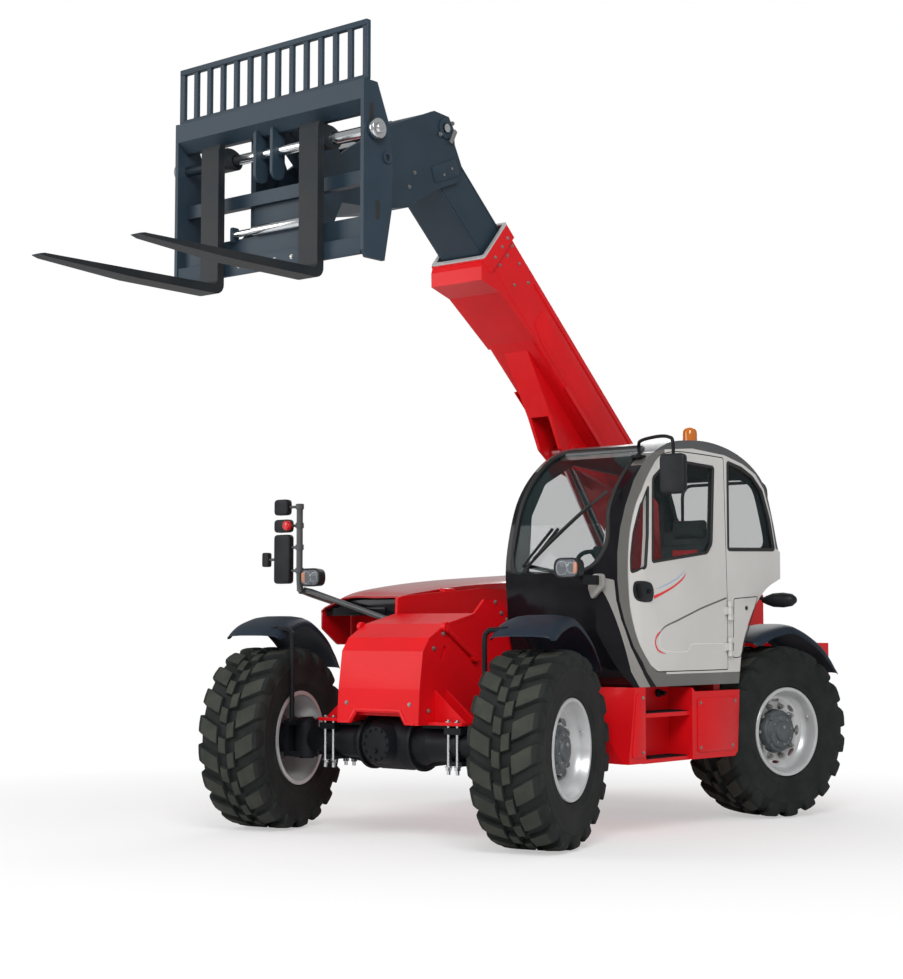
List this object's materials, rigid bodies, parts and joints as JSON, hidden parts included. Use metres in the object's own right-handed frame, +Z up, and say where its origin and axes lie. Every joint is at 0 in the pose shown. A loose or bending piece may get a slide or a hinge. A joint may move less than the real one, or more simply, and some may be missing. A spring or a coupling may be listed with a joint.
{
  "type": "telescopic handler with pallet forks",
  "caption": "Telescopic handler: offset side cab, telescoping boom with gooseneck head and tilting pallet-fork carriage, side engine hood, steered wheels front and rear.",
  "frame": {"origin": "on the ground at the centre of the bounding box, midway between the mirror tips and midway between fork tips and tail", "axes": "+Z up, -Y forward (the way the forks point), +X to the machine's left, the cab side"},
  "size_m": [3.21, 6.55, 4.7498],
  "materials": {
    "red_paint": "gloss",
    "blue_grey_paint": "satin",
    "black_paint": "satin",
    "cab_grey_paint": "gloss",
    "rim_silver": "satin",
    "hub_grey": "satin",
    "tyre_rubber": "matte",
    "tinted_glass": "clear",
    "bright_steel": "polished",
    "black_plastic": "matte",
    "fender_plastic": "satin",
    "seat_fabric": "woven",
    "amber_lens": "gloss",
    "lamp_lens": "gloss",
    "fork_steel": "satin",
    "engine_iron": "matte",
    "red_lens": "gloss",
    "wear_pad_nylon": "matte"
  },
  "bodies": {
    "chassis": {"chassis_frame": "red_paint", "frame_pins": "bright_steel", "front_axle": "black_paint", "rear_axle": "black_paint", "engine_block": "engine_iron", "engine_bay_panels": "red_paint", "side_tank": "red_paint", "rear_counterweight": "red_paint", "cab_frame": "cab_grey_paint", "cab_glass": "tinted_glass", "dashboard": "black_plastic", "steering_wheel": "black_plastic", "operator_seat": "seat_fabric", "beacon": "amber_lens", "mirror_mast": "black_plastic", "cab_mirror": "black_plastic", "headlamps": "lamp_lens", "rear_lamps": "red_lens"},
    "door": {"door_frame": "cab_grey_paint", "door_glass": "tinted_glass"},
    "hood": {"engine_hood": "red_paint"},
    "boom": {"outer_boom": "red_paint", "wear_pads": "wear_pad_nylon"},
    "inner_boom": {"inner_boom": "blue_grey_paint", "boom_head": "blue_grey_paint", "head_pins": "bright_steel"},
    "carriage": {"carriage_frame": "blue_grey_paint", "fork_shaft": "bright_steel", "backrest_guard": "blue_grey_paint"},
    "fork_left": {"fork_left": "fork_steel"},
    "fork_right": {"fork_right": "fork_steel"},
    "lift_barrel": {"lift_barrel": "black_paint"},
    "lift_rod": {"lift_rod": "bright_steel"},
    "tilt_barrel": {"tilt_barrel": "black_paint"},
    "tilt_rod": {"tilt_rod": "bright_steel"},
    "knuckle_front_left": {"knuckle_front_left": "black_paint", "fender_front_left": "fender_plastic"},
    "wheel_front_left": {"hub_front_left": "hub_grey", "rim_front_left": "rim_silver", "tyre_front_left": "tyre_rubber"},
    "knuckle_front_right": {"knuckle_front_right": "black_paint", "fender_front_right": "fender_plastic"},
    "wheel_front_right": {"hub_front_right": "hub_grey", "rim_front_right": "rim_silver", "tyre_front_right": "tyre_rubber"},
    "knuckle_rear_left": {"knuckle_rear_left": "black_paint", "fender_rear_left": "fender_plastic"},
    "wheel_rear_left": {"hub_rear_left": "hub_grey", "rim_rear_left": "rim_silver", "tyre_rear_left": "tyre_rubber"},
    "knuckle_rear_right": {"knuckle_rear_right": "black_paint", "fender_rear_right": "fender_plastic"},
    "wheel_rear_right": {"hub_rear_right": "hub_grey", "rim_rear_right": "rim_silver", "tyre_rear_right": "tyre_rubber"}
  },
  "joints": [
    {"name": "front_left_steer", "type": "hinge", "parent": "chassis", "child": "knuckle_front_left", "pos_m": [0.81, -0.725, 0.59], "axis": [0, 0, 1], "range_deg": [-47, 19]},
    {"name": "front_right_steer", "type": "hinge", "parent": "chassis", "child": "knuckle_front_right", "pos_m": [-0.81, -0.725, 0.59], "axis": [0, 0, 1], "range_deg": [-47, 19]},
    {"name": "rear_left_steer", "type": "hinge", "parent": "chassis", "child": "knuckle_rear_left", "pos_m": [0.81, 2.025, 0.59], "axis": [0, 0, -1], "range_deg": [-47, 19]},
    {"name": "rear_right_steer", "type": "hinge", "parent": "chassis", "child": "knuckle_rear_right", "pos_m": [-0.81, 2.025, 0.59], "axis": [0, 0, -1], "range_deg": [-47, 19]},
    {"name": "front_left_wheel", "type": "hinge", "parent": "knuckle_front_left", "child": "wheel_front_left", "pos_m": [1.05257, -0.66452, 0.59], "axis": [0.9703, 0.2419, 0], "continuous": true},
    {"name": "front_right_wheel", "type": "hinge", "parent": "knuckle_front_right", "child": "wheel_front_right", "pos_m": [-1.05257, -0.78548, 0.59], "axis": [0.9703, 0.2419, 0], "continuous": true},
    {"name": "rear_left_wheel", "type": "hinge", "parent": "knuckle_rear_left", "child": "wheel_rear_left", "pos_m": [1.05257, 1.96452, 0.59], "axis": [0.9703, -0.2419, 0], "continuous": true},
    {"name": "rear_right_wheel", "type": "hinge", "parent": "knuckle_rear_right", "child": "wheel_rear_right", "pos_m": [-1.05257, 2.08548, 0.59], "axis": [0.9703, -0.2419, 0], "continuous": true},
    {"name": "boom_lift", "type": "hinge", "parent": "chassis", "child": "boom", "pos_m": [0, 2.625, 1.55], "axis": [-1, 0, 0], "range_deg": [-39.5, 13.5]},
    {"name": "boom_extend", "type": "slide", "parent": "boom", "child": "inner_boom", "axis": [0, -0.749, 0.6626], "range_m": [-0.48, 2.4]},
    {"name": "carriage_tilt", "type": "hinge", "parent": "inner_boom", "child": "carriage", "pos_m": [0, -1.555, 3.95], "axis": [1, 0, 0], "range_deg": [-52, 58]},
    {"name": "fork_left_slide", "type": "slide", "parent": "carriage", "child": "fork_left", "axis": [1, 0, 0], "range_m": [-0.075, 0.26]},
    {"name": "fork_right_slide", "type": "slide", "parent": "carriage", "child": "fork_right", "axis": [-1, 0, 0], "range_m": [-0.075, 0.26]},
    {"name": "lift_barrel_swing", "type": "hinge", "parent": "chassis", "child": "lift_barrel", "pos_m": [0, 2.225, 0.9], "axis": [-1, 0, 0], "range_deg": [-38, 13.5]},
    {"name": "lift_rod_slide", "type": "slide", "parent": "lift_barrel", "child": "lift_rod", "axis": [0, -0.5945, 0.8041], "range_m": [-0.51, 0.18]},
    {"name": "tilt_barrel_swing", "type": "hinge", "parent": "inner_boom", "child": "tilt_barrel", "pos_m": [0, -0.51994, 4.50732], "axis": [1, 0, 0], "range_deg": [-2, 2]},
    {"name": "tilt_rod_slide", "type": "slide", "parent": "tilt_barrel", "child": "tilt_rod", "axis": [0, -0.9472, -0.3208], "range_m": [-0.16, 0.18]},
    {"name": "cab_door", "type": "hinge", "parent": "chassis", "child": "door", "pos_m": [1.216, 1.225, 1.3], "axis": [0, 0, 1], "range_deg": [0, 80]},
    {"name": "hood_lift", "type": "hinge", "parent": "chassis", "child": "hood", "pos_m": [-0.367, 0.675, 1.56], "axis": [0, 1, 0], "range_deg": [0, 55]}
  ],
  "couplings": [
    {"joint": "front_right_steer", "follows": "front_left_steer", "ratio": 1},
    {"joint": "rear_right_steer", "follows": "rear_left_steer", "ratio": 1},
    {"joint": "lift_barrel_swing", "follows": "boom_lift", "ratio": 0.93},
    {"joint": "lift_rod_slide", "follows": "boom_lift", "m_per_rad": 0.72},
    {"joint": "tilt_barrel_swing", "follows": "carriage_tilt", "ratio": -0.03},
    {"joint": "tilt_rod_slide", "follows": "carriage_tilt", "m_per_rad": 0.165}
  ]
}
